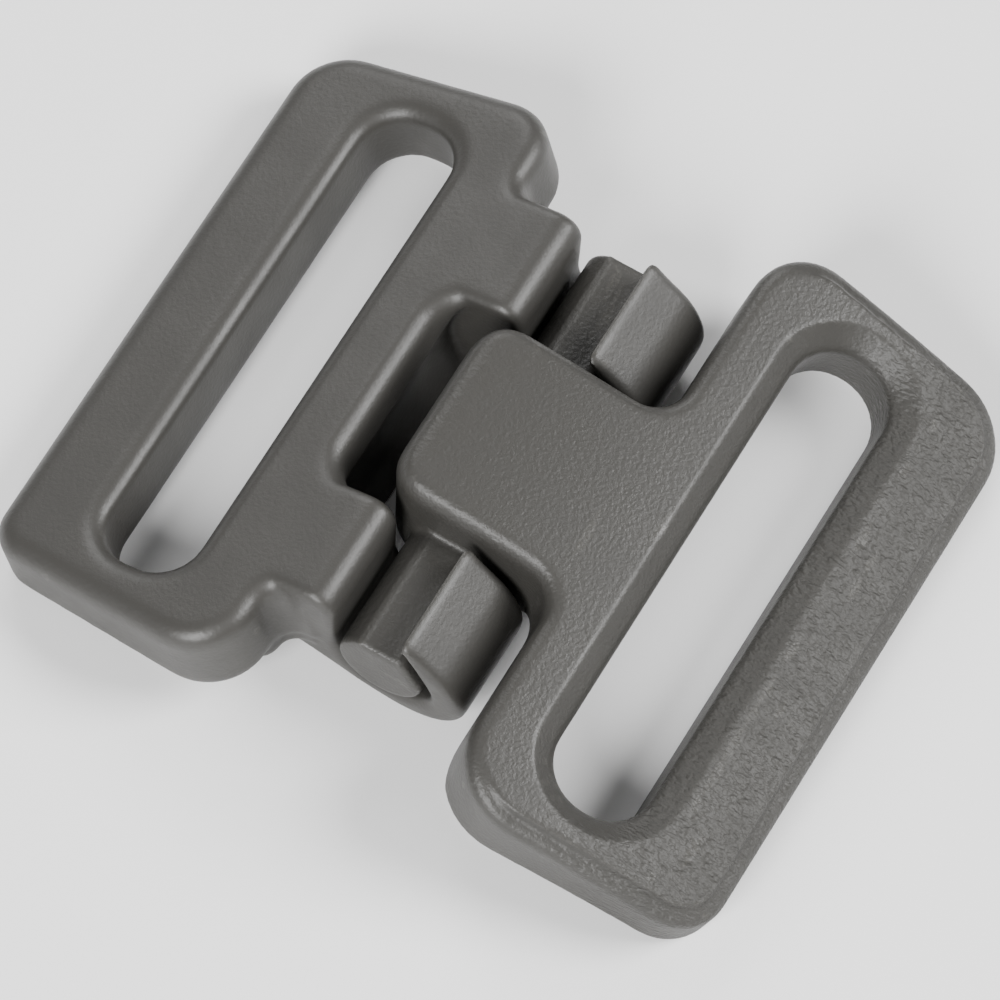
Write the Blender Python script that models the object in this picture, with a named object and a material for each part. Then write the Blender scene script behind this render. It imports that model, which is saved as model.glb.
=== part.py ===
"""Twist buckle for 25 mm webbing: two moulded halves hooked together at a flattened cross pin.

The frame stands on the surface that the buckle lies on, +Z up. X runs along the webbing, with
the hook half on the -X side and the axle half on the +X side. Y runs along the cross pin, and
the buckle is symmetric about Y = 0. Both halves slope down from the hinge, so each lies on its
outer bar and the hook half also on its cradles. Sizes below are millimetres.
"""

import math

import bmesh
import bpy
from mathutils import Matrix, Vector

MM = 0.001

# The hinge: everything in a half is placed by its distance from the pin axis.
PIN_HEIGHT = 3.85
PIN_X = -0.05
PIN_RADIUS = 2.15
PIN_FLAT = 1.85
PIN_FLAT_TILTED = 1.95
PIN_FLAT_ANGLE = math.radians(27)
PIN_HALF_LENGTH = 11.35
PIN_END_ROUND = 0.3

# Both web slots.
HOOK_SLOT_HALF_LENGTH = 13.05
AXLE_SLOT_HALF_LENGTH = 12.9

# Hook half, by distance out from the pin axis.
HOOK_TOP_AT_PIN = 4.99
HOOK_TOP_SLOPE = 0.29
HOOK_LEAN = math.radians(13.5)
HOOK_INNER = 5.9
HOOK_OUTER = 19.1
HOOK_SIDE_AT_PIN = 17.0
HOOK_SIDE_TAPER = 0.115
HOOK_THICK_INNER = 4.6
HOOK_THICK_OUTER = 3.54
HOOK_SLOT = (9.56, 14.4)
HOOK_SLOT_CORNER = 2.1
HOOK_RIM = 0.9
HOOK_FOOT = 0.7
HOOK_SLOT_FLARE = 0.7
HOOK_SLOT_FOOT = 1.0
HOOK_INNER_CORNER = 3.3
HOOK_OUTER_CORNER = 2.5

# Lugs, cradles and hooks of the hook half.
NOTCH_HALF_WIDTH = 5.4
NOTCH_DEPTH = 6.4
NOTCH_CORNER = 1.1
LUG_HALF_WIDTH = 11.3
LUG_STUB = 4.3
SHOULDER_ROUND = 1.1
SHOULDER_REACH = 4.6
SHOULDER_DROP = 1.5
SHOULDER_FOOT = 0.45
SHOULDER_SIDE = 11.27
LUG_EDGE = 2.42
LUG_EDGE_ROUND = 1.1
LUG_FACE_FOOT = (-2.44, 0.3)
ARM_BACK = -7.6
CRADLE_INSIDE = 2.45
JAW_FOOT = (2.72, -0.36)
HOOK_OUTLINE = [
    (1.2, 3.0), (1.28, 3.25), (1.52, 3.4), (1.85, 3.3), (2.8, 2.68), (3.55, 1.9), (4.1, 0.85),
    (4.33, -0.3), (4.25, -1.2), (3.86, -2.08), (3.15, -2.85), (2.2, -3.44), (1.1, -3.77),
    (0.0, -3.85), (-1.0, -3.68),
]
ARM_SIDE_ROUND = 0.45
SWING_RADIUS = 6.1
SKIRT_FOOT = -3.75
SKIRT_WALL = 0.9

# Axle half, by distance out from the pin axis. Its top is a shallow arch.
AXLE_TOP_AT_PIN = 4.78
AXLE_TOP_SLOPE = 0.1233
AXLE_TOP_CURVE = 0.008
AXLE_LEAN = math.radians(15)
AXLE_INNER = 5.8
AXLE_OUTER = 19.25
AXLE_SIDE_AT_PIN = 16.75
AXLE_SIDE_TAPER = 0.098
AXLE_THICK_INNER = 5.06
AXLE_THICK_OUTER = 3.63
AXLE_SLOT = (9.42, 14.32)
AXLE_SLOT_CORNER = 2.4
AXLE_RIM = 1.1
AXLE_FOOT = 0.7
AXLE_SLOT_FLARE = 1.15
AXLE_SLOT_FOOT = 0.7
AXLE_INNER_CORNER = 3.6
AXLE_OUTER_CORNER = 2.8
TONGUE_HALF_WIDTH = 4.9
TONGUE_END = -3.9
TONGUE_CORNER = 2.2
TONGUE_ROOT_ROUND = 1.8
TONGUE_BOTTOM = -2.15
LEAN_STARTS = 3.5
LEAN_ENDS = 6.5

CORNER_STEPS = 5
ROUND_STEPS = 2
ARC_STEP = math.radians(12)
BEND_STEP = 1.5


def clear_scene():
    for obj in list(bpy.data.objects):
        bpy.data.objects.remove(obj, do_unlink=True)


def plastic(name, color):
    material = bpy.data.materials.new(name)
    material.use_nodes = True
    shader = material.node_tree.nodes["Principled BSDF"]
    shader.inputs["Base Color"].default_value = (*color, 1.0)
    shader.inputs["Roughness"].default_value = 0.48
    shader.inputs["Metallic"].default_value = 0.0
    return material


def rounded_outline(corners):
    """Turn (x, y, radius) corners into points, with each corner an arc."""
    points = []
    for index, (x, y, radius) in enumerate(corners):
        corner = Vector((x, y))
        before = Vector(corners[index - 1][:2]) - corner
        after = Vector(corners[(index + 1) % len(corners)][:2]) - corner
        if radius == 0:
            points.append(corner)
            continue
        half = before.angle(after) / 2
        reach = radius / math.tan(half)
        centre = corner + (before.normalized() + after.normalized()).normalized() * radius / math.sin(half)
        start = corner + before.normalized() * reach - centre
        turn = start.angle_signed(corner + after.normalized() * reach - centre)
        for step in range(CORNER_STEPS + 1):
            swing = -turn * step / CORNER_STEPS
            points.append(centre + Matrix.Rotation(swing, 2) @ start)
    return points


def arc(centre, radius, start, end):
    """Points on a circle from one angle to another, in even steps."""
    steps = max(2, round(abs(end - start) / ARC_STEP))
    return [
        (centre[0] + radius * math.cos(start + (end - start) * step / steps),
         centre[1] + radius * math.sin(start + (end - start) * step / steps))
        for step in range(steps + 1)
    ]


def prism(outline, low, high):
    """A bmesh prism over an outline in plan, from one height to another."""
    mesh = bmesh.new()
    bottom = mesh.faces.new([mesh.verts.new((x, y, low)) for x, y in outline])
    side = bmesh.ops.extrude_face_region(mesh, geom=[bottom])
    moved = [item for item in side["geom"] if isinstance(item, bmesh.types.BMVert)]
    bmesh.ops.translate(mesh, verts=moved, vec=(0, 0, high - low))
    bmesh.ops.recalc_face_normals(mesh, faces=mesh.faces)
    return mesh


def round_rim(mesh, height, radius, steps=ROUND_STEPS):
    """Round the edge round the flat face at one height."""
    rim = [edge for edge in mesh.edges if all(abs(vert.co.z - height) < 1e-4 for vert in edge.verts)]
    bmesh.ops.bevel(mesh, geom=rim, offset=radius, offset_type="OFFSET", segments=steps,
                    profile=0.5, affect="EDGES", material=-1)


def mesh_object(name, mesh, is_guide=False):
    """Put a bmesh in the scene; a guide is a cutter or a tool for a Boolean."""
    data = bpy.data.meshes.new(name)
    mesh.to_mesh(data)
    mesh.free()
    obj = bpy.data.objects.new(name, data)
    bpy.context.scene.collection.objects.link(obj)
    if is_guide:
        obj.hide_render = True
        obj.display_type = "WIRE"
    return obj


def combine(target, tool, operation):
    """Apply one exact Boolean to the target's mesh and remove the tool."""
    modifier = target.modifiers.new(operation.lower(), "BOOLEAN")
    modifier.operation = operation
    modifier.solver = "EXACT"
    modifier.object = tool
    bpy.context.view_layer.update()
    evaluated = target.evaluated_get(bpy.context.evaluated_depsgraph_get())
    result = bpy.data.meshes.new_from_object(evaluated)
    target.modifiers.clear()
    target.data = result
    bpy.data.objects.remove(tool, do_unlink=True)


def slot_cutter(slot, half_length, corner, flare_top, flare_foot, thickness):
    """The slot's own shape, widened in a quarter round at the top and the underside."""
    inner, outer = slot
    mesh = bmesh.new()
    rings = []
    levels = []
    for step in range(ROUND_STEPS + 2):
        angle = math.radians(90) * min(step, ROUND_STEPS + 1) / (ROUND_STEPS + 1)
        levels.append((thickness - flare_top * (1 - math.cos(angle)), flare_top * (1 - math.sin(angle))))
    foot = []
    for step in range(ROUND_STEPS + 2):
        angle = math.radians(90) * step / (ROUND_STEPS + 1)
        foot.append((flare_foot * (1 - math.cos(angle)), flare_foot * (1 - math.sin(angle))))
    over = 1.0
    sections = [(thickness + over, flare_top)] + levels + foot[::-1] + [(-over, flare_foot)]
    for height, grow in sections:
        half = half_length + grow
        ring = rounded_outline([
            (inner - grow, -half, corner + grow), (outer + grow, -half, corner + grow),
            (outer + grow, half, corner + grow), (inner - grow, half, corner + grow)])
        rings.append([mesh.verts.new((x, y, height)) for x, y in ring])
    for upper, lower in zip(rings, rings[1:]):
        for index in range(len(upper)):
            following = (index + 1) % len(upper)
            mesh.faces.new((upper[index], upper[following], lower[following], lower[index]))
    mesh.faces.new(rings[0])
    mesh.faces.new(rings[-1])
    bmesh.ops.recalc_face_normals(mesh, faces=mesh.faces)
    return mesh


def frame_plate(name, outline, rim, foot, thickness, cutter):
    """A flat frame with rounded rims and its slot cut, before it is sloped."""
    mesh = prism(outline, 0.0, thickness)
    round_rim(mesh, thickness, rim)
    round_rim(mesh, 0.0, foot)
    plate = mesh_object(name, mesh)
    combine(plate, mesh_object(name + "_slot_cutter", cutter, is_guide=True), "DIFFERENCE")
    return plate


def reshape(obj, place, cuts=()):
    """Cut the mesh across at the given distances, then move each point by a rule."""
    mesh = bmesh.new()
    mesh.from_mesh(obj.data)
    for distance in cuts:
        everything = list(mesh.verts) + list(mesh.edges) + list(mesh.faces)
        bmesh.ops.bisect_plane(mesh, geom=everything, dist=1e-5,
                               plane_co=(distance, 0, 0), plane_no=(1, 0, 0))
    for vert in mesh.verts:
        vert.co = place(vert.co)
    bmesh.ops.recalc_face_normals(mesh, faces=mesh.faces)
    mesh.to_mesh(obj.data)
    mesh.free()


def hook_top(distance):
    return HOOK_TOP_AT_PIN - HOOK_TOP_SLOPE * distance


def hook_thickness(distance):
    share = (distance - HOOK_INNER) / (HOOK_OUTER - HOOK_INNER)
    return HOOK_THICK_INNER + (HOOK_THICK_OUTER - HOOK_THICK_INNER) * share


def place_in_hook_half(point):
    """From distance out, Y and height in a flat plate to the sloping hook half."""
    depth = (1 - point.z / HOOK_THICK_INNER) * hook_thickness(point.x)
    return Vector((-point.x + depth * math.sin(HOOK_LEAN), point.y,
                   hook_top(point.x) - depth * math.cos(HOOK_LEAN)))


def axle_top(distance):
    return AXLE_TOP_AT_PIN - AXLE_TOP_SLOPE * distance - AXLE_TOP_CURVE * distance ** 2


def axle_lean(distance):
    share = (distance - LEAN_STARTS) / (LEAN_ENDS - LEAN_STARTS)
    return AXLE_LEAN * min(1.0, max(0.0, share))


def axle_thickness(distance):
    """The frame thins outwards; the tongue reaches down past the pin."""
    share = (distance - AXLE_INNER) / (AXLE_OUTER - AXLE_INNER)
    frame = AXLE_THICK_INNER + (AXLE_THICK_OUTER - AXLE_THICK_INNER) * share
    tongue = axle_top(distance) - TONGUE_BOTTOM
    blend = min(1.0, max(0.0, (distance - LEAN_STARTS) / (LEAN_ENDS - LEAN_STARTS)))
    return tongue + (frame - tongue) * blend


def place_in_axle_half(point):
    depth = (1 - point.z / AXLE_THICK_INNER) * axle_thickness(point.x)
    lean = axle_lean(point.x)
    return Vector((point.x - depth * math.sin(lean), point.y, axle_top(point.x) - depth * math.cos(lean)))


def side_prism(profile, low, high, rounding):
    """Extrude an XZ profile along Y, with the rims of both ends rounded."""
    mesh = prism([(x, z) for x, z in profile], low, high)
    for height in (low, high):
        if rounding > 0:
            round_rim(mesh, height, rounding, steps=1)
    upright = Matrix(((1, 0, 0, 0), (0, 0, 1, 0), (0, 1, 0, 0), (0, 0, 0, 1)))
    bmesh.ops.transform(mesh, matrix=upright, verts=mesh.verts)
    bmesh.ops.reverse_faces(mesh, faces=mesh.faces)
    return mesh


def hook_outline():
    """Plan of the hook half's frame, with stubs for the lugs and the notch between them."""
    half = []
    side_inner = HOOK_SIDE_AT_PIN - HOOK_SIDE_TAPER * HOOK_INNER
    side_outer = HOOK_SIDE_AT_PIN - HOOK_SIDE_TAPER * HOOK_OUTER
    half.append((HOOK_OUTER, side_outer, HOOK_OUTER_CORNER))
    half.append((HOOK_INNER, side_inner, HOOK_INNER_CORNER))
    half.append((HOOK_INNER, LUG_HALF_WIDTH, SHOULDER_ROUND))
    half.append((LUG_STUB, LUG_HALF_WIDTH, 0))
    half.append((LUG_STUB, NOTCH_HALF_WIDTH, 0))
    half.append((NOTCH_DEPTH, NOTCH_HALF_WIDTH, NOTCH_CORNER))
    mirrored = [(x, -y, radius) for x, y, radius in reversed(half)]
    return rounded_outline(half + mirrored)


def arm_profile():
    """Side view of a lug, the cradle under the pin and the hook beyond it."""
    corner = Vector((-LUG_EDGE, hook_top(LUG_EDGE)))
    to_frame = Vector((-1, -HOOK_TOP_SLOPE)).normalized()
    to_foot = (Vector(LUG_FACE_FOOT) - corner).normalized()
    nose = [corner + to_frame * LUG_EDGE_ROUND,
            corner + (to_frame * 0.6 + to_foot * 0.08) * LUG_EDGE_ROUND,
            corner + (to_frame + to_foot) * LUG_EDGE_ROUND * 0.27,
            corner + (to_frame * 0.08 + to_foot * 0.6) * LUG_EDGE_ROUND,
            corner + to_foot * LUG_EDGE_ROUND]
    pocket = arc((0, 0), CRADLE_INSIDE, math.radians(182), math.radians(322))
    back = [(-1.95, -3.3), (-2.9, -2.9), (-4.0, -2.68), (-5.6, -2.4), (ARM_BACK, -1.72)]
    top = [(ARM_BACK, hook_top(-ARM_BACK) - 0.01)]
    return (top + [tuple(point) for point in nose] + [LUG_FACE_FOOT] + pocket
            + [JAW_FOOT] + HOOK_OUTLINE + back)


def skirt_profile():
    """Side view of the short wall that closes the notch behind the tongue."""
    low = math.asin(SKIRT_FOOT / SWING_RADIUS)
    inside = [(-SWING_RADIUS * math.cos(angle), SWING_RADIUS * math.sin(angle))
              for angle in (0.1, 0.0, low / 3, low * 2 / 3, low)]
    foot_x = inside[-1][0]
    return inside + [(foot_x - SKIRT_WALL, SKIRT_FOOT + 0.1), (-7.2, -1.4), (-7.2, 0.4)]


def shoulder_mesh(side):
    """The deeper corner where a lug's outer side runs into the frame."""
    outline = [
        (8.0, 10.5, 0), (8.0, 13.8, 0), (HOOK_INNER + 0.03, 13.5, 0.9),
        (HOOK_INNER + 0.03, SHOULDER_SIDE, SHOULDER_ROUND), (SHOULDER_REACH, SHOULDER_SIDE, 0),
        (SHOULDER_REACH, 10.5, 0)]
    if side < 0:
        outline = [(x, -y, radius) for x, y, radius in reversed(outline)]
    mesh = prism(rounded_outline(outline), -SHOULDER_DROP, 1.0)
    round_rim(mesh, -SHOULDER_DROP, SHOULDER_FOOT)
    return mesh


def build_hook_half(material):
    slot = slot_cutter(HOOK_SLOT, HOOK_SLOT_HALF_LENGTH, HOOK_SLOT_CORNER,
                       HOOK_SLOT_FLARE, HOOK_SLOT_FOOT, HOOK_THICK_INNER)
    plate = frame_plate("hook_half", hook_outline(), HOOK_RIM, HOOK_FOOT, HOOK_THICK_INNER, slot)
    reshape(plate, place_in_hook_half)
    skirt = side_prism(skirt_profile(), -NOTCH_HALF_WIDTH - 1, NOTCH_HALF_WIDTH + 1, 0)
    combine(plate, mesh_object("hook_half_skirt", skirt, is_guide=True), "UNION")
    for side in (-1, 1):
        shoulder = mesh_object("hook_half_shoulder", shoulder_mesh(side), is_guide=True)
        reshape(shoulder, place_in_hook_half)
        combine(plate, shoulder, "UNION")
        low, high = sorted((side * NOTCH_HALF_WIDTH, side * LUG_HALF_WIDTH))
        arm = side_prism(arm_profile(), low, high, ARM_SIDE_ROUND)
        combine(plate, mesh_object("hook_half_arm", arm, is_guide=True), "UNION")
    swing = bmesh.new()
    bmesh.ops.create_cone(swing, cap_ends=True, segments=64, radius1=SWING_RADIUS, radius2=SWING_RADIUS,
                          depth=2 * NOTCH_HALF_WIDTH - 0.02, matrix=Matrix.Rotation(math.radians(90), 4, "X"))
    combine(plate, mesh_object("hook_half_swing", swing, is_guide=True), "DIFFERENCE")
    plate.data.materials.clear()
    plate.data.materials.append(material)
    return plate


def axle_outline():
    """Plan of the axle half: the frame and its broad tongue."""
    half = []
    side_inner = AXLE_SIDE_AT_PIN - AXLE_SIDE_TAPER * AXLE_INNER
    side_outer = AXLE_SIDE_AT_PIN - AXLE_SIDE_TAPER * AXLE_OUTER
    half.append((TONGUE_END, TONGUE_HALF_WIDTH, TONGUE_CORNER))
    half.append((AXLE_INNER, TONGUE_HALF_WIDTH, TONGUE_ROOT_ROUND))
    half.append((AXLE_INNER, side_inner, AXLE_INNER_CORNER))
    half.append((AXLE_OUTER, side_outer, AXLE_OUTER_CORNER))
    mirrored = [(x, -y, radius) for x, y, radius in reversed(half)]
    return rounded_outline(mirrored + half)


def pin_profile():
    """Round pin with a flat on top and a second one beside it, facing the jaw."""
    top_end = math.acos(PIN_FLAT / PIN_RADIUS)
    side_half = math.acos(PIN_FLAT_TILTED / PIN_RADIUS)
    right_angle = math.radians(90)
    top_left = right_angle + top_end
    top_right = right_angle - top_end
    side_top = PIN_FLAT_ANGLE + side_half
    side_low = PIN_FLAT_ANGLE - side_half
    round_part = arc((0, 0), PIN_RADIUS, top_left, 2 * math.pi + side_low)
    shoulder = arc((0, 0), PIN_RADIUS, side_top, top_right)
    return round_part + shoulder


def build_axle_half(material):
    slot = slot_cutter(AXLE_SLOT, AXLE_SLOT_HALF_LENGTH, AXLE_SLOT_CORNER,
                       AXLE_SLOT_FLARE, AXLE_SLOT_FOOT, AXLE_THICK_INNER)
    plate = frame_plate("axle_half", axle_outline(), AXLE_RIM, AXLE_FOOT, AXLE_THICK_INNER, slot)
    count = int((AXLE_OUTER - TONGUE_END) / BEND_STEP)
    cuts = [TONGUE_END + BEND_STEP * (index + 1) for index in range(count)]
    reshape(plate, place_in_axle_half, cuts)
    pin = side_prism(pin_profile(), -PIN_HALF_LENGTH, PIN_HALF_LENGTH, PIN_END_ROUND)
    combine(plate, mesh_object("axle_half_pin", pin, is_guide=True), "UNION")
    plate.data.materials.clear()
    plate.data.materials.append(material)
    return plate


def stand_on_floor(half):
    """Scale from millimetres and put the object's origin on the pin axis."""
    half.data.transform(Matrix.Scale(MM, 4))
    half.location = (PIN_X * MM, 0, PIN_HEIGHT * MM)
    half.data.shade_smooth()
    half.data.set_sharp_from_angle(angle=math.radians(32))


def main():
    clear_scene()
    hook_half = build_hook_half(plastic("hook_half_plastic", (0.120, 0.117, 0.110)))
    axle_half = build_axle_half(plastic("axle_half_plastic", (0.128, 0.125, 0.118)))
    for half in (hook_half, axle_half):
        stand_on_floor(half)


main()
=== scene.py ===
"""Looks of the twist buckle: both moulded halves in satin grey acetal, on a pale floor in studio light.

Shapes are made in millimetres about the pin axis, X out along the webbing and Z up, and are then
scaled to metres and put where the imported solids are.
"""

import math

import bmesh
import bpy
from mathutils import Matrix, Vector


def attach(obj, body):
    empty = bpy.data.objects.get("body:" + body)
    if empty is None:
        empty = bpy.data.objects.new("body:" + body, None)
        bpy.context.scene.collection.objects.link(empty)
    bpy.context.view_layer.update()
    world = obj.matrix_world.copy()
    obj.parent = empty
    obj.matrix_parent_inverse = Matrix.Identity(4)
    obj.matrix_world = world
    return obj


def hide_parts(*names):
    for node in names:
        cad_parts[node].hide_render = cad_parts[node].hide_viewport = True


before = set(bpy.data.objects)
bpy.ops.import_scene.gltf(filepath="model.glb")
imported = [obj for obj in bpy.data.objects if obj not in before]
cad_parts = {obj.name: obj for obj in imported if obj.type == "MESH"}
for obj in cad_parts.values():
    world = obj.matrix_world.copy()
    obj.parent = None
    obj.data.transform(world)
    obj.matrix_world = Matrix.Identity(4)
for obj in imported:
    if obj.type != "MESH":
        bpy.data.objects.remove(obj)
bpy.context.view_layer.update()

MM = 0.001
PIN_AXIS = Vector((-0.05, 0.0, 3.85))

# Camera, fitted to the straight edges of the buckle in the photograph.
VIEW_TARGET = Vector((-0.5, 0.0, 5.9))
VIEW_HEIGHT = 1.1547
VIEW_TURN = 0.487
VIEW_ROLL = 0.0508
VIEW_DISTANCE = 356.4
VIEW_SCALE = 21.85
VIEW_MIDDLE = (497.8, 451.9)
PICTURE_SIZE = 1000
SENSOR = 36.0
CLOSEST_SEEN = 0.01

# Pin.
PIN_RADIUS = 2.15
PIN_FLAT = 1.9
PIN_SIDE_FLAT = 2.0
PIN_SIDE_ANGLE = math.radians(27)
PIN_HALF_LENGTH = 11.4
PIN_END_ROUND = 0.25
PIN_FLAT_ROUND = 0.6
PIN_CREASE = math.radians(8)

# Hook half: X is the distance out from the pin axis. It is drawn flat and then sloped.
HOOK_TOP_AT_PIN = 4.99
HOOK_TOP_SLOPE = 0.29
HOOK_LEAN = math.radians(13.5)
HOOK_INNER = 5.9
HOOK_OUTER = 19.1
HOOK_SIDE_AT_PIN = 16.76
HOOK_SIDE_TAPER = 0.1
HOOK_THICK_INNER = 4.6
HOOK_THICK_OUTER = 3.54
HOOK_SLOT = (9.8, 14.6)
HOOK_SLOT_HALF_LENGTH = 13.05
HOOK_SLOT_CORNER = 2.1
HOOK_SLOT_RIM = 1.0
HOOK_SLOT_FOOT = 0.7
HOOK_RIM = 1.0
HOOK_FOOT = 0.7
HOOK_OUTER_CORNER_NEAR = 1.6
HOOK_OUTER_CORNER_FAR = 2.5
HOOK_INNER_CORNER_NEAR = 3.3
HOOK_INNER_CORNER_FAR = 2.7
HOOK_INNER_FAR = 6.3
SHOULDER_ROUND = 1.1
SHOULDER_SIDE = 11.27
SHOULDER_DROP = 0.8
SHOULDER_TOP = 1.0
SHOULDER_FOOT = 0.6
SHOULDER_SPAN = (4.6, 8.0)
SHOULDER_INSIDE = 10.5
SHOULDER_OUTSIDE = (13.0, 13.3)
SHOULDER_LIP = (0.03, 0.9)
NOTCH_HALF_WIDTH = 5.4
NOTCH_DEPTH = 6.4
NOTCH_CORNER = 1.8
LUG_HALF_WIDTH = 11.4
LUG_STUB = 4.3
SWING_RADIUS = 6.0
SWING_GAP = 0.02

# Side view of a lug, its cradle and hook: x, z and how far the corner is rounded.
ARM_CORNERS = [
    (-7.6, 2.77, 0.0), (-2.45, 4.28, 1.7), (-2.45, -2.45, 2.44), (3.67, -2.45, 3.5),
    (0.587, 4.36, 1.3), (4.33, 1.25, 1.7), (4.33, -3.85, 3.4),
    (-0.4, -3.85, 1.3), (-3.3, -2.8, 1.2), (-7.6, -1.75, 0.0),
]
# Side view of the wall that closes the notch.
SKIRT_CORNERS = [
    (-5.4, 0.5, 0), (-7.2, 0.4, 0), (-7.2, -1.4, 0.3), (-5.9, -3.6, 0.6), (-4.3, -3.83, 0), (-4.3, -1.0, 0)]
ARM_INSIDE = 5.38
ARM_OUTSIDE = 11.36
ARM_END_ROUND = 0.45
ARM_DRAFT = 0.05

# Axle half: X is the distance out from the pin axis. It is drawn flat and then arched.
AXLE_TOP_AT_PIN = 4.78
AXLE_TOP_SLOPE = 0.1233
AXLE_TOP_CURVE = 0.008
AXLE_LEAN = math.radians(15)
AXLE_INNER = 5.8
AXLE_OUTER = 19.21
AXLE_SIDE_NEAR = 16.72
AXLE_SIDE_FAR = 16.56
AXLE_SIDE_TAPER = 0.088
AXLE_THICK_INNER = 5.06
AXLE_THICK_OUTER = 3.59
AXLE_SLOT = (9.4, 14.17)
AXLE_SLOT_HALF_LENGTH = 12.9
AXLE_SLOT_CORNER = 2.3
AXLE_SLOT_FOOT = 0.5
AXLE_SLOT_BEVEL = (0.8, 0.7)
AXLE_SLOT_ROUND = 1.2
AXLE_BAND = 0.8
AXLE_BAND_DROP = 0.55
AXLE_BAND_STARTS = 5.8
AXLE_BAND_ENDS = 11.5
AXLE_RIM = 0.74
AXLE_FOOT = 0.7
AXLE_OUTER_CORNER_NEAR = 2.3
AXLE_OUTER_CORNER_FAR = 3.2
AXLE_INNER_CORNER_NEAR = 3.9
AXLE_INNER_CORNER_FAR = 3.3
TONGUE_HALF_WIDTH = 4.9
TONGUE_END = -3.9
TONGUE_CORNER = 2.2
TONGUE_ROOT = 1.8
TONGUE_BOTTOM = -2.5
TONGUE_ROLL_OFF = 1.3
LEAN_STARTS = 3.5
LEAN_ENDS = 6.5

# How fine the meshes are.
CORNER_SEGMENTS = 10
RIM_SEGMENTS = 6
BEND_STEP = 0.4
ROUND_SEGMENTS = 128
PIN_ROUND_SEGMENTS = 5
PIN_END_SEGMENTS = 3
CUT_MARGIN = 1.0
CUT_OVERLAP = 0.05
JOIN_OVERLAP = 1.0
CLOSE = 1e-4
SAME_PLANE = 1e-5
HOOK_SKIN = (0.16, 6)
AXLE_SKIN = (0.13, 2)
AXLE_THINNING = 0.62
SOFTENING = 0.5
CREASE = math.radians(28)

# Grain of the mouldings. Each noise has its number of grains in a millimetre and its detail.
FINE_GRAIN = (5.0, 3.0)
COARSE_GRAIN = (2.6, 2.0)
COARSE_STRETCH = (0.45, 1.0, 1.0)
COARSE_TURN = math.radians(17)
FLOW_MARKS = (0.35, 4.0)
GRAIN_DEPTH = 0.05
COLOR_SPREAD = 0.05
HOOK_GRAIN = (30.0, 31.0, 0.0, 0.32)
AXLE_GRAIN = (9.0, 16.5, 5.0, 0.7)
NOISE_ROUGHNESS = 0.55
MIDDLE_OF_NOISE = 0.5
FLOW_RANGE = (0.3, 0.7)
GLOSS_RANGE = (0.48, 0.42)
COARSE_ROUGHER = 0.1

# Edges polished in use, with finer specks in them; their colour is lightened as well, a painted highlight
# along the edges.
EDGE_RANGE = (0.51, 0.56)
EDGE_SPECKS = (7.0, 2.0)
SPECK_RANGE = (0.42, 0.6, 0.25, 1.0)
EDGE_HIGHLIGHT_GAIN = 1.45
EDGE_SMOOTHER = 0.06

# Acetal.
HOOK_COLOR = (0.0365, 0.035, 0.0318)
AXLE_COLOR = (0.0352, 0.0337, 0.0303)
ACETAL_IOR = 1.48

# Studio, with each soft box's place in metres, size and power.
FLOOR_REACH = 1.5
FLOOR_SHADE = 0.92
FLOOR_ROUGHNESS = 0.9
SKY_STRENGTH = 0.22
SOFT_BOXES = {
    "front_softbox": ((0.0, -0.39, 0.31), 0.26, 4.1),
    "back_right_softbox": ((0.33, 0.19, 0.34), 0.26, 3.8),
    "back_left_softbox": ((-0.25, 0.3, 0.31), 0.26, 1.1),
}


def round_edges(mesh, edges, radius, segments):
    bmesh.ops.bevel(mesh, geom=edges, offset=radius, offset_type="OFFSET", affect="EDGES",
                    segments=segments, profile=0.5, material=-1)


def slab(corners, height, rise):
    """Pull a flat face with rounded corners up or down; gives the mesh and the moved face."""
    mesh = bmesh.new()
    points = [mesh.verts.new((x, y, height)) for x, y, _ in corners]
    mesh.faces.new(points)
    for point, (_, _, reach) in zip(points, corners):
        if reach > 0:
            bmesh.ops.bevel(mesh, geom=[point], offset=reach, offset_type="OFFSET", affect="VERTICES",
                            segments=CORNER_SEGMENTS, profile=0.5, material=-1)
    grown = bmesh.ops.extrude_face_region(mesh, geom=list(mesh.faces))["geom"]
    lifted = [item for item in grown if isinstance(item, bmesh.types.BMVert)]
    bmesh.ops.translate(mesh, verts=lifted, vec=(0, 0, rise))
    return mesh, [item for item in grown if isinstance(item, bmesh.types.BMFace)]


def rounded_plate(corners, low, high, rim=0.0, foot=0.0):
    """A slab over a rounded outline, with its upper and lower edges rounded."""
    mesh, _ = slab(corners, low, high - low)
    bmesh.ops.recalc_face_normals(mesh, faces=mesh.faces)
    for height, radius in ((high, rim), (low, foot)):
        if radius > 0:
            edges = [edge for edge in mesh.edges
                     if all(abs(vert.co.z - height) < CLOSE for vert in edge.verts)]
            round_edges(mesh, edges, radius, RIM_SEGMENTS)
    return mesh


def both_sides(half):
    """An outline from its +Y half, given in order from one end of the middle line."""
    return half + [(x, -y, reach) for x, y, reach in reversed(half)]


def slot_corners(slot, half_length, corner, grow=0.0):
    inner, outer = slot[0] - grow, slot[1] + grow
    reach = corner + grow
    return both_sides([(outer, half_length + grow, reach), (inner, half_length + grow, reach)])


def round_over(radius, start=0.0):
    """Steps of a round edge as (inwards, down), from a start angle to the upright wall."""
    angles = [start + (math.radians(90) - start) * step / RIM_SEGMENTS for step in range(RIM_SEGMENTS + 1)]
    return [(radius * (math.sin(stop) - math.sin(begin)), radius * (math.cos(begin) - math.cos(stop)))
            for begin, stop in zip(angles, angles[1:])]


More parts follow.
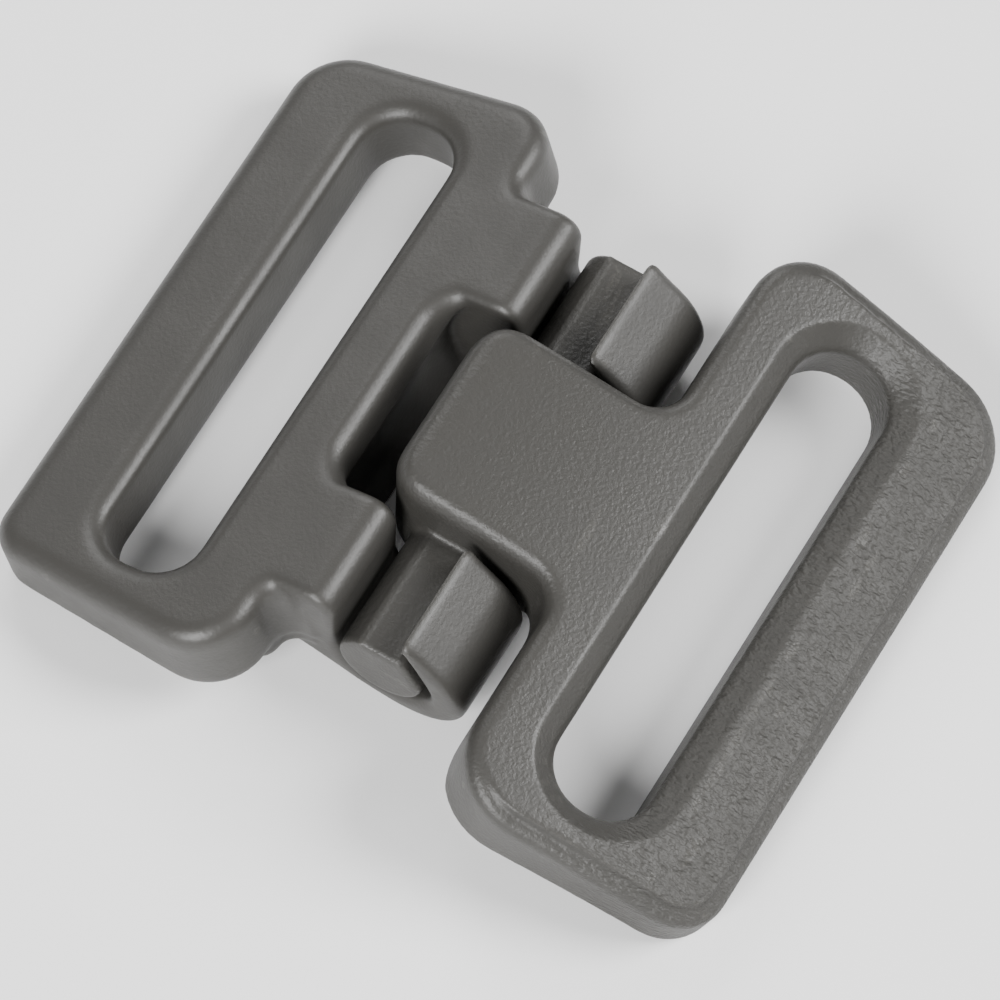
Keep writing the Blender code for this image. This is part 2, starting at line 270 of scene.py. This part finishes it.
def slot_funnel(slot, half_length, corner, steps, surface, outward):
    """A cutter that starts outside a surface, by +1 or -1 mm in Z, and narrows step by step below it."""
    corners = slot_corners(slot, half_length, corner, sum(narrow for narrow, _ in steps) - CUT_OVERLAP)
    mesh, mouth = slab(corners, surface + outward, -outward)
    for narrow, sink in steps:
        bmesh.ops.inset_region(mesh, faces=mouth, thickness=narrow, depth=0, use_even_offset=True)
        inner = list({vert for face in mouth for vert in face.verts})
        bmesh.ops.translate(mesh, verts=inner, vec=(0, 0, -math.copysign(sink, outward)))
    bmesh.ops.recalc_face_normals(mesh, faces=mesh.faces)
    return mesh


def as_object(name, mesh):
    data = bpy.data.meshes.new(name)
    mesh.to_mesh(data)
    mesh.free()
    piece = bpy.data.objects.new(name, data)
    bpy.context.scene.collection.objects.link(piece)
    return piece


def finish_modifiers(piece):
    """Apply the piece's modifiers to its mesh."""
    bpy.context.view_layer.update()
    shaped = piece.evaluated_get(bpy.context.evaluated_depsgraph_get())
    data = bpy.data.meshes.new_from_object(shaped)
    old = piece.data
    piece.modifiers.clear()
    piece.data = data
    bpy.data.meshes.remove(old)


def combine(piece, mesh, operation):
    """Join or cut the piece with another closed shape."""
    tool = as_object("tool", mesh)
    modifier = piece.modifiers.new("combine", "BOOLEAN")
    modifier.operation = operation
    modifier.solver = "MANIFOLD"
    modifier.object = tool
    finish_modifiers(piece)
    data = tool.data
    bpy.data.objects.remove(tool, do_unlink=True)
    bpy.data.meshes.remove(data)


def cut_slot(piece, slot, half_length, corner, rim, foot, thickness):
    """Cut the web slot through the flat frame, with both mouths rounded."""
    through = rounded_plate(slot_corners(slot, half_length, corner), -CUT_MARGIN, thickness + CUT_MARGIN)
    combine(piece, through, "DIFFERENCE")
    combine(piece, slot_funnel(slot, half_length, corner, rim, thickness, CUT_MARGIN), "DIFFERENCE")
    combine(piece, slot_funnel(slot, half_length, corner, foot, 0.0, -CUT_MARGIN), "DIFFERENCE")


def reshape(mesh, place, start, stop):
    """Cut the flat shape across in even steps, then move its points to the sloping half."""
    count = round((stop - start) / BEND_STEP)
    for index in range(1, count):
        everything = list(mesh.verts) + list(mesh.edges) + list(mesh.faces)
        bmesh.ops.bisect_plane(mesh, geom=everything, dist=SAME_PLANE,
                               plane_co=(start + index * BEND_STEP, 0, 0), plane_no=(1, 0, 0))
    for vert in mesh.verts:
        vert.co = place(vert.co)
    bmesh.ops.triangulate(mesh, faces=mesh.faces)
    bmesh.ops.recalc_face_normals(mesh, faces=mesh.faces)


def reshape_piece(piece, place, start, stop):
    mesh = bmesh.new()
    mesh.from_mesh(piece.data)
    reshape(mesh, place, start, stop)
    mesh.to_mesh(piece.data)
    mesh.free()


def place_in_hook_half(point):
    share = (point.x - HOOK_INNER) / (HOOK_OUTER - HOOK_INNER)
    thickness = HOOK_THICK_INNER + (HOOK_THICK_OUTER - HOOK_THICK_INNER) * share
    depth = (1 - point.z / HOOK_THICK_INNER) * thickness
    top = HOOK_TOP_AT_PIN - HOOK_TOP_SLOPE * point.x
    return Vector((-point.x + depth * math.sin(HOOK_LEAN), point.y, top - depth * math.cos(HOOK_LEAN)))


def axle_top(distance):
    """Height of the arched top, rolled off at the tongue's end."""
    past = min(TONGUE_ROLL_OFF, max(0.0, TONGUE_END + TONGUE_ROLL_OFF - distance))
    fall = TONGUE_ROLL_OFF - math.sqrt(TONGUE_ROLL_OFF ** 2 - past ** 2)
    return AXLE_TOP_AT_PIN - AXLE_TOP_SLOPE * distance - AXLE_TOP_CURVE * distance ** 2 - fall


def place_in_axle_half(point):
    share = (point.x - AXLE_INNER) / (AXLE_OUTER - AXLE_INNER)
    bar = AXLE_THICK_INNER + (AXLE_THICK_OUTER - AXLE_THICK_INNER) * share
    tongue = axle_top(point.x) - TONGUE_BOTTOM
    blend = min(1.0, max(0.0, (point.x - LEAN_STARTS) / (LEAN_ENDS - LEAN_STARTS)))
    thickness = tongue + (bar - tongue) * blend
    lean = AXLE_LEAN * blend
    depth = (1 - point.z / AXLE_THICK_INNER) * thickness
    return Vector((point.x - depth * math.sin(lean), point.y, axle_top(point.x) - depth * math.cos(lean)))


def stand_side_view(mesh):
    """Turn a slab modelled in plan so that its outline lies in X and Z."""
    upright = Matrix(((1, 0, 0, 0), (0, 0, 1, 0), (0, 1, 0, 0), (0, 0, 0, 1)))
    bmesh.ops.transform(mesh, matrix=upright, verts=mesh.verts)
    bmesh.ops.recalc_face_normals(mesh, faces=mesh.faces)
    return mesh


def hook_frame_corners():
    side_inner = HOOK_SIDE_AT_PIN - HOOK_SIDE_TAPER * HOOK_INNER
    side_outer = HOOK_SIDE_AT_PIN - HOOK_SIDE_TAPER * HOOK_OUTER
    corners = both_sides([
        (HOOK_OUTER, side_outer, HOOK_OUTER_CORNER_FAR), (HOOK_INNER_FAR, side_inner, HOOK_INNER_CORNER_FAR),
        (HOOK_INNER_FAR, LUG_HALF_WIDTH, SHOULDER_ROUND), (LUG_STUB, LUG_HALF_WIDTH, 0),
        (LUG_STUB, NOTCH_HALF_WIDTH, 0), (NOTCH_DEPTH, NOTCH_HALF_WIDTH, NOTCH_CORNER)])
    corners[-3:] = [
        (HOOK_INNER, -LUG_HALF_WIDTH, SHOULDER_ROUND), (HOOK_INNER, -side_inner, HOOK_INNER_CORNER_NEAR),
        (HOOK_OUTER, -side_outer, HOOK_OUTER_CORNER_NEAR)]
    return corners


def shoulder(side):
    """The deeper corner where a lug's outer side runs into the frame."""
    start, stop = SHOULDER_SPAN
    lip, lip_round = SHOULDER_LIP
    edge = HOOK_INNER + lip
    corners = [
        (stop, SHOULDER_INSIDE, 0), (stop, SHOULDER_OUTSIDE[1], 0), (edge, SHOULDER_OUTSIDE[0], lip_round),
        (edge, SHOULDER_SIDE, SHOULDER_ROUND), (start, SHOULDER_SIDE, 0), (start, SHOULDER_INSIDE, 0)]
    mesh = rounded_plate([(x, side * y, reach) for x, y, reach in corners], -SHOULDER_DROP, SHOULDER_TOP,
                         foot=SHOULDER_FOOT)
    reshape(mesh, place_in_hook_half, start, stop)
    return mesh


def skirt():
    """The wall that closes the notch behind and below the tongue."""
    reach = NOTCH_HALF_WIDTH + JOIN_OVERLAP
    return stand_side_view(rounded_plate(SKIRT_CORNERS, -reach, reach))


def cylinder_along_y(radius, length):
    mesh = bmesh.new()
    turn = Matrix.Rotation(math.radians(90), 4, "X")
    bmesh.ops.create_cone(mesh, cap_ends=True, segments=ROUND_SEGMENTS, radius1=radius, radius2=radius,
                          depth=length, matrix=turn)
    return mesh


def pin_mesh():
    """Round pin with a flat on top and another facing the jaw."""
    mesh = cylinder_along_y(PIN_RADIUS, 2 * PIN_HALF_LENGTH)
    flats = ((PIN_FLAT, math.radians(90)), (PIN_SIDE_FLAT, PIN_SIDE_ANGLE))
    for distance, angle in flats:
        outward = Vector((math.cos(angle), 0, math.sin(angle)))
        everything = list(mesh.verts) + list(mesh.edges) + list(mesh.faces)
        bmesh.ops.bisect_plane(mesh, geom=everything, dist=SAME_PLANE, plane_co=outward * distance,
                               plane_no=outward, clear_outer=True)
        bmesh.ops.holes_fill(mesh, edges=[edge for edge in mesh.edges if edge.is_boundary], sides=0)
    bmesh.ops.recalc_face_normals(mesh, faces=mesh.faces)
    borders = [edge for edge in mesh.edges
               if edge.calc_length() > PIN_HALF_LENGTH and edge.calc_face_angle(0) > PIN_CREASE]
    round_edges(mesh, borders, PIN_FLAT_ROUND, PIN_ROUND_SEGMENTS)
    ends = [edge for edge in mesh.edges
            if all(abs(abs(vert.co.y) - PIN_HALF_LENGTH) < CLOSE for vert in edge.verts)]
    round_edges(mesh, ends, PIN_END_ROUND, PIN_END_SEGMENTS)
    return mesh


def arm(side):
    """A lug with its cradle and hook; its outer side leans in towards the bottom."""
    middle = (ARM_INSIDE + ARM_OUTSIDE) / 2
    low, high = sorted((side * ARM_INSIDE, side * ARM_OUTSIDE))
    mesh = stand_side_view(rounded_plate(ARM_CORNERS, low, high, ARM_END_ROUND, ARM_END_ROUND))
    for vert in mesh.verts:
        if abs(vert.co.y) > middle:
            vert.co.y -= side * ARM_DRAFT * max(0.0, PIN_RADIUS - vert.co.z)
    return mesh


def band_below_the_top(mesh):
    """A bevelled band around the axle half's top face, which fades out on the tongue."""
    top = max(mesh.faces, key=lambda face: face.calc_center_median().z)
    bmesh.ops.inset_region(mesh, faces=[top], thickness=AXLE_BAND, depth=0, use_even_offset=True)
    kept = set(top.verts)
    outer = {vert for vert in mesh.verts if abs(vert.co.z - AXLE_THICK_INNER) < CLOSE and vert not in kept}
    edges = [edge for edge in mesh.edges if all(vert in outer for vert in edge.verts)]
    for vert in outer:
        share = min(1.0, max(0.0, (vert.co.x - AXLE_BAND_STARTS) / (AXLE_BAND_ENDS - AXLE_BAND_STARTS)))
        vert.co.z -= AXLE_BAND_DROP * share * share * (3 - 2 * share)
    round_edges(mesh, edges, AXLE_RIM, RIM_SEGMENTS)
    return mesh


def set_in_place(piece):
    """From millimetres about the pin axis to the object's real size and place."""
    piece.data.transform(Matrix.Translation(PIN_AXIS * MM) @ Matrix.Scale(MM, 4))
    piece.data.materials.clear()
    for face in piece.data.polygons:
        face.material_index = 0
    piece.data.shade_smooth()
    piece.data.set_sharp_from_angle(angle=CREASE)


def skin(piece, cell, rounds):
    """One soft moulded skin over the joined shape."""
    remesh = piece.modifiers.new("skin", "REMESH")
    remesh.mode = "VOXEL"
    remesh.voxel_size = cell
    smooth = piece.modifiers.new("soften", "SMOOTH")
    smooth.factor = SOFTENING
    smooth.iterations = rounds
    finish_modifiers(piece)


def make_hook_half():
    piece = as_object("hook_half_moulding", rounded_plate(
        hook_frame_corners(), 0.0, HOOK_THICK_INNER, HOOK_RIM, HOOK_FOOT))
    cut_slot(piece, HOOK_SLOT, HOOK_SLOT_HALF_LENGTH, HOOK_SLOT_CORNER, round_over(HOOK_SLOT_RIM),
             round_over(HOOK_SLOT_FOOT), HOOK_THICK_INNER)
    reshape_piece(piece, place_in_hook_half, LUG_STUB, HOOK_OUTER)
    combine(piece, skirt(), "UNION")
    for side in (-1, 1):
        combine(piece, shoulder(side), "UNION")
        combine(piece, arm(side), "UNION")
    combine(piece, cylinder_along_y(SWING_RADIUS, 2 * ARM_INSIDE - SWING_GAP), "DIFFERENCE")
    skin(piece, *HOOK_SKIN)
    set_in_place(piece)
    return piece


def axle_frame_corners():
    narrowing_inner = AXLE_SIDE_TAPER * AXLE_INNER
    narrowing_outer = AXLE_SIDE_TAPER * AXLE_OUTER
    corners = both_sides([
        (AXLE_OUTER, AXLE_SIDE_FAR - narrowing_outer, AXLE_OUTER_CORNER_FAR),
        (AXLE_INNER, AXLE_SIDE_FAR - narrowing_inner, AXLE_INNER_CORNER_FAR),
        (AXLE_INNER, TONGUE_HALF_WIDTH, TONGUE_ROOT), (TONGUE_END, TONGUE_HALF_WIDTH, TONGUE_CORNER)])
    corners[-2:] = [
        (AXLE_INNER, narrowing_inner - AXLE_SIDE_NEAR, AXLE_INNER_CORNER_NEAR),
        (AXLE_OUTER, narrowing_outer - AXLE_SIDE_NEAR, AXLE_OUTER_CORNER_NEAR)]
    return corners


def make_axle_half():
    plate = rounded_plate(axle_frame_corners(), 0.0, AXLE_THICK_INNER, foot=AXLE_FOOT)
    piece = as_object("axle_half_moulding", band_below_the_top(plate))
    mouth = [AXLE_SLOT_BEVEL] + round_over(AXLE_SLOT_ROUND, math.atan2(*reversed(AXLE_SLOT_BEVEL)))
    cut_slot(piece, AXLE_SLOT, AXLE_SLOT_HALF_LENGTH, AXLE_SLOT_CORNER, mouth, round_over(AXLE_SLOT_FOOT),
             AXLE_THICK_INNER)
    reshape_piece(piece, place_in_axle_half, TONGUE_END, AXLE_OUTER)
    combine(piece, pin_mesh(), "UNION")
    skin(piece, *AXLE_SKIN)
    thin = piece.modifiers.new("thin", "DECIMATE")
    thin.ratio = AXLE_THINNING
    finish_modifiers(piece)
    set_in_place(piece)
    return piece


def math_node(tree, operation, first, second):
    """A Math node whose inputs are sockets or numbers."""
    node = tree.nodes.new("ShaderNodeMath")
    node.operation = operation
    for socket, value in zip(node.inputs, (first, second)):
        if isinstance(value, bpy.types.NodeSocket):
            tree.links.new(value, socket)
        else:
            socket.default_value = value
    return node.outputs[0]


def noise_node(tree, place, scale, detail, stretch=(1.0, 1.0, 1.0), turn=0.0):
    """Noise in millimetres, stretched and turned in plan."""
    mapping = tree.nodes.new("ShaderNodeMapping")
    mapping.inputs["Rotation"].default_value = (0.0, 0.0, turn)
    mapping.inputs["Scale"].default_value = stretch
    tree.links.new(place, mapping.inputs["Vector"])
    noise = tree.nodes.new("ShaderNodeTexNoise")
    noise.inputs["Scale"].default_value = scale
    noise.inputs["Detail"].default_value = detail
    noise.inputs["Roughness"].default_value = NOISE_ROUGHNESS
    tree.links.new(mapping.outputs["Vector"], noise.inputs["Vector"])
    return noise.outputs["Fac"]


def range_node(tree, value, low, high, to_low, to_high):
    node = tree.nodes.new("ShaderNodeMapRange")
    node.interpolation_type = "SMOOTHSTEP"
    tree.links.new(value, node.inputs["Value"])
    node.inputs["From Min"].default_value = low
    node.inputs["From Max"].default_value = high
    node.inputs["To Min"].default_value = to_low
    node.inputs["To Max"].default_value = to_high
    return node.outputs["Result"]


def moulded_surface_group():
    """Mould grain, soft flow marks, a slight change of gloss and lightly polished edges whose colour is
    lightened as a painted highlight.
    """
    tree = bpy.data.node_groups.new("moulded_surface", "ShaderNodeTree")
    tree.interface.new_socket("Place in mm", in_out="INPUT", socket_type="NodeSocketVector")
    for name in ("Coarse grain starts", "Coarse grain ends", "Coarse grain", "Fine grain"):
        tree.interface.new_socket(name, in_out="INPUT", socket_type="NodeSocketFloat")
    for name in ("Height", "Shade", "Roughness", "Edge polish and highlight"):
        tree.interface.new_socket(name, in_out="OUTPUT", socket_type="NodeSocketFloat")
    given = tree.nodes.new("NodeGroupInput")
    result = tree.nodes.new("NodeGroupOutput")
    place = given.outputs["Place in mm"]
    axes = tree.nodes.new("ShaderNodeSeparateXYZ")
    tree.links.new(place, axes.inputs["Vector"])
    spread = tree.nodes.new("ShaderNodeMapRange")
    spread.interpolation_type = "SMOOTHSTEP"
    tree.links.new(axes.outputs["X"], spread.inputs["Value"])
    tree.links.new(given.outputs["Coarse grain starts"], spread.inputs["From Min"])
    tree.links.new(given.outputs["Coarse grain ends"], spread.inputs["From Max"])
    fine = noise_node(tree, place, *FINE_GRAIN)
    streaks = noise_node(tree, place, *COARSE_GRAIN, COARSE_STRETCH, COARSE_TURN)
    creased = math_node(tree, "ABSOLUTE", math_node(tree, "SUBTRACT", streaks, MIDDLE_OF_NOISE), 0.0)
    coarse = math_node(tree, "MULTIPLY", creased, math_node(
        tree, "MULTIPLY", given.outputs["Coarse grain"], spread.outputs["Result"]))
    height = math_node(tree, "ADD", math_node(tree, "MULTIPLY", fine, given.outputs["Fine grain"]), coarse)
    flow = noise_node(tree, place, *FLOW_MARKS)
    tree.links.new(height, result.inputs["Height"])
    tree.links.new(range_node(tree, flow, *FLOW_RANGE, 0.0, 1.0), result.inputs["Shade"])
    gloss = math_node(tree, "ADD", range_node(tree, flow, *FLOW_RANGE, *GLOSS_RANGE),
                      math_node(tree, "MULTIPLY", spread.outputs["Result"], COARSE_ROUGHER))
    bend = tree.nodes.new("ShaderNodeNewGeometry").outputs["Pointiness"]
    specks = range_node(tree, noise_node(tree, place, *EDGE_SPECKS), *SPECK_RANGE)
    edge_polish_and_highlight = math_node(tree, "MULTIPLY", range_node(tree, bend, *EDGE_RANGE, 0.0, 1.0), specks)
    tree.links.new(math_node(tree, "SUBTRACT", gloss, math_node(tree, "MULTIPLY", edge_polish_and_highlight, EDGE_SMOOTHER)),
                   result.inputs["Roughness"])
    tree.links.new(edge_polish_and_highlight, result.inputs["Edge polish and highlight"])
    return tree


def mix_node(tree, share, first, second):
    """A colour Mix node; each colour is a socket or three numbers."""
    node = tree.nodes.new("ShaderNodeMix")
    node.data_type = "RGBA"
    factor, below, above = node.inputs[0], node.inputs[6], node.inputs[7]
    tree.links.new(share, factor)
    for socket, color in ((below, first), (above, second)):
        if isinstance(color, bpy.types.NodeSocket):
            tree.links.new(color, socket)
        else:
            socket.default_value = (*color, 1.0)
    return node.outputs[2]


def acetal(name, group, color, grain):
    """Satin grey acetal; grain gives where the coarse grain starts and ends in X, and both strengths."""
    material = bpy.data.materials.new(name)
    material.use_nodes = True
    tree = material.node_tree
    shader = tree.nodes["Principled BSDF"]
    shader.inputs["IOR"].default_value = ACETAL_IOR
    place = tree.nodes.new("ShaderNodeTexCoord")
    millimetres = tree.nodes.new("ShaderNodeMapping")
    millimetres.inputs["Scale"].default_value = (1 / MM, 1 / MM, 1 / MM)
    tree.links.new(place.outputs["Object"], millimetres.inputs["Vector"])
    surface = tree.nodes.new("ShaderNodeGroup")
    surface.node_tree = group
    tree.links.new(millimetres.outputs["Vector"], surface.inputs["Place in mm"])
    for socket, value in zip(list(surface.inputs)[1:], grain):
        socket.default_value = value
    darker, lighter, polished_highlight_color = [
        [value * gain for value in color] for gain in (1 - COLOR_SPREAD, 1 + COLOR_SPREAD, EDGE_HIGHLIGHT_GAIN)]
    tint = mix_node(tree, surface.outputs["Shade"], darker, lighter)
    # The lighter colour on the polished edges is a painted highlight along them.
    tinted_with_edge_highlight = mix_node(tree, surface.outputs["Edge polish and highlight"], tint, polished_highlight_color)
    tree.links.new(tinted_with_edge_highlight, shader.inputs["Base Color"])
    tree.links.new(surface.outputs["Roughness"], shader.inputs["Roughness"])
    bump = tree.nodes.new("ShaderNodeBump")
    bump.inputs["Strength"].default_value = 1.0
    bump.inputs["Distance"].default_value = GRAIN_DEPTH * MM
    tree.links.new(surface.outputs["Height"], bump.inputs["Height"])
    tree.links.new(bump.outputs["Normal"], shader.inputs["Normal"])
    return material


def look_from_the_photograph():
    """Camera at the photograph's own angle, distance and framing."""
    back = Vector((math.sin(VIEW_TURN) * math.cos(VIEW_HEIGHT),
                   -math.cos(VIEW_TURN) * math.cos(VIEW_HEIGHT), math.sin(VIEW_HEIGHT)))
    level = Vector((math.cos(VIEW_TURN), math.sin(VIEW_TURN), 0))
    upward = back.cross(level)
    right = level * math.cos(VIEW_ROLL) + upward * math.sin(VIEW_ROLL)
    top = upward * math.cos(VIEW_ROLL) - level * math.sin(VIEW_ROLL)
    data = bpy.data.cameras.new("photograph_view")
    data.sensor_width = SENSOR
    data.lens = VIEW_SCALE * VIEW_DISTANCE * SENSOR / PICTURE_SIZE
    data.shift_x = (PICTURE_SIZE / 2 - VIEW_MIDDLE[0]) / PICTURE_SIZE
    data.shift_y = (VIEW_MIDDLE[1] - PICTURE_SIZE / 2) / PICTURE_SIZE
    data.clip_start = CLOSEST_SEEN
    camera = bpy.data.objects.new("photograph_view", data)
    place = (VIEW_TARGET + back * VIEW_DISTANCE) * MM
    camera.matrix_world = Matrix.Translation(place) @ Matrix((right, top, back)).transposed().to_4x4()
    bpy.context.scene.collection.objects.link(camera)
    bpy.context.scene.camera = camera


def soft_light(name, place, size, power):
    """A round soft box that faces the buckle."""
    data = bpy.data.lights.new(name, "AREA")
    data.shape = "DISK"
    data.size = size
    data.energy = power
    light = bpy.data.objects.new(name, data)
    light.location = place
    light.rotation_euler = (Vector() - Vector(place)).to_track_quat("-Z", "Y").to_euler()
    bpy.context.scene.collection.objects.link(light)


def studio():
    """A plain pale floor, a faint sky and three soft boxes."""
    mesh = bmesh.new()
    bmesh.ops.create_grid(mesh, x_segments=1, y_segments=1, size=FLOOR_REACH)
    floor = as_object("floor", mesh)
    material = bpy.data.materials.new("pale_floor")
    material.use_nodes = True
    shader = material.node_tree.nodes["Principled BSDF"]
    shader.inputs["Base Color"].default_value = (FLOOR_SHADE, FLOOR_SHADE, FLOOR_SHADE, 1.0)
    shader.inputs["Roughness"].default_value = FLOOR_ROUGHNESS
    shader.inputs["Specular IOR Level"].default_value = 0.0
    floor.data.materials.append(material)
    world = bpy.data.worlds.new("studio")
    world.use_nodes = True
    world.node_tree.nodes["Background"].inputs["Color"].default_value = (1, 1, 1, 1)
    world.node_tree.nodes["Background"].inputs["Strength"].default_value = SKY_STRENGTH
    bpy.context.scene.world = world
    for name, (place, size, power) in SOFT_BOXES.items():
        soft_light(name, place, size, power)


def main():
    look_from_the_photograph()
    hook_half = make_hook_half()
    group = moulded_surface_group()
    hook_half.data.materials.append(acetal("hook_half_acetal", group, HOOK_COLOR, HOOK_GRAIN))
    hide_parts("hook_half")
    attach(hook_half, "hook_body")
    axle_half = make_axle_half()
    axle_half.data.materials.append(acetal("axle_half_acetal", group, AXLE_COLOR, AXLE_GRAIN))
    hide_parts("axle_half")
    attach(axle_half, "axle_body")
    studio()


main()
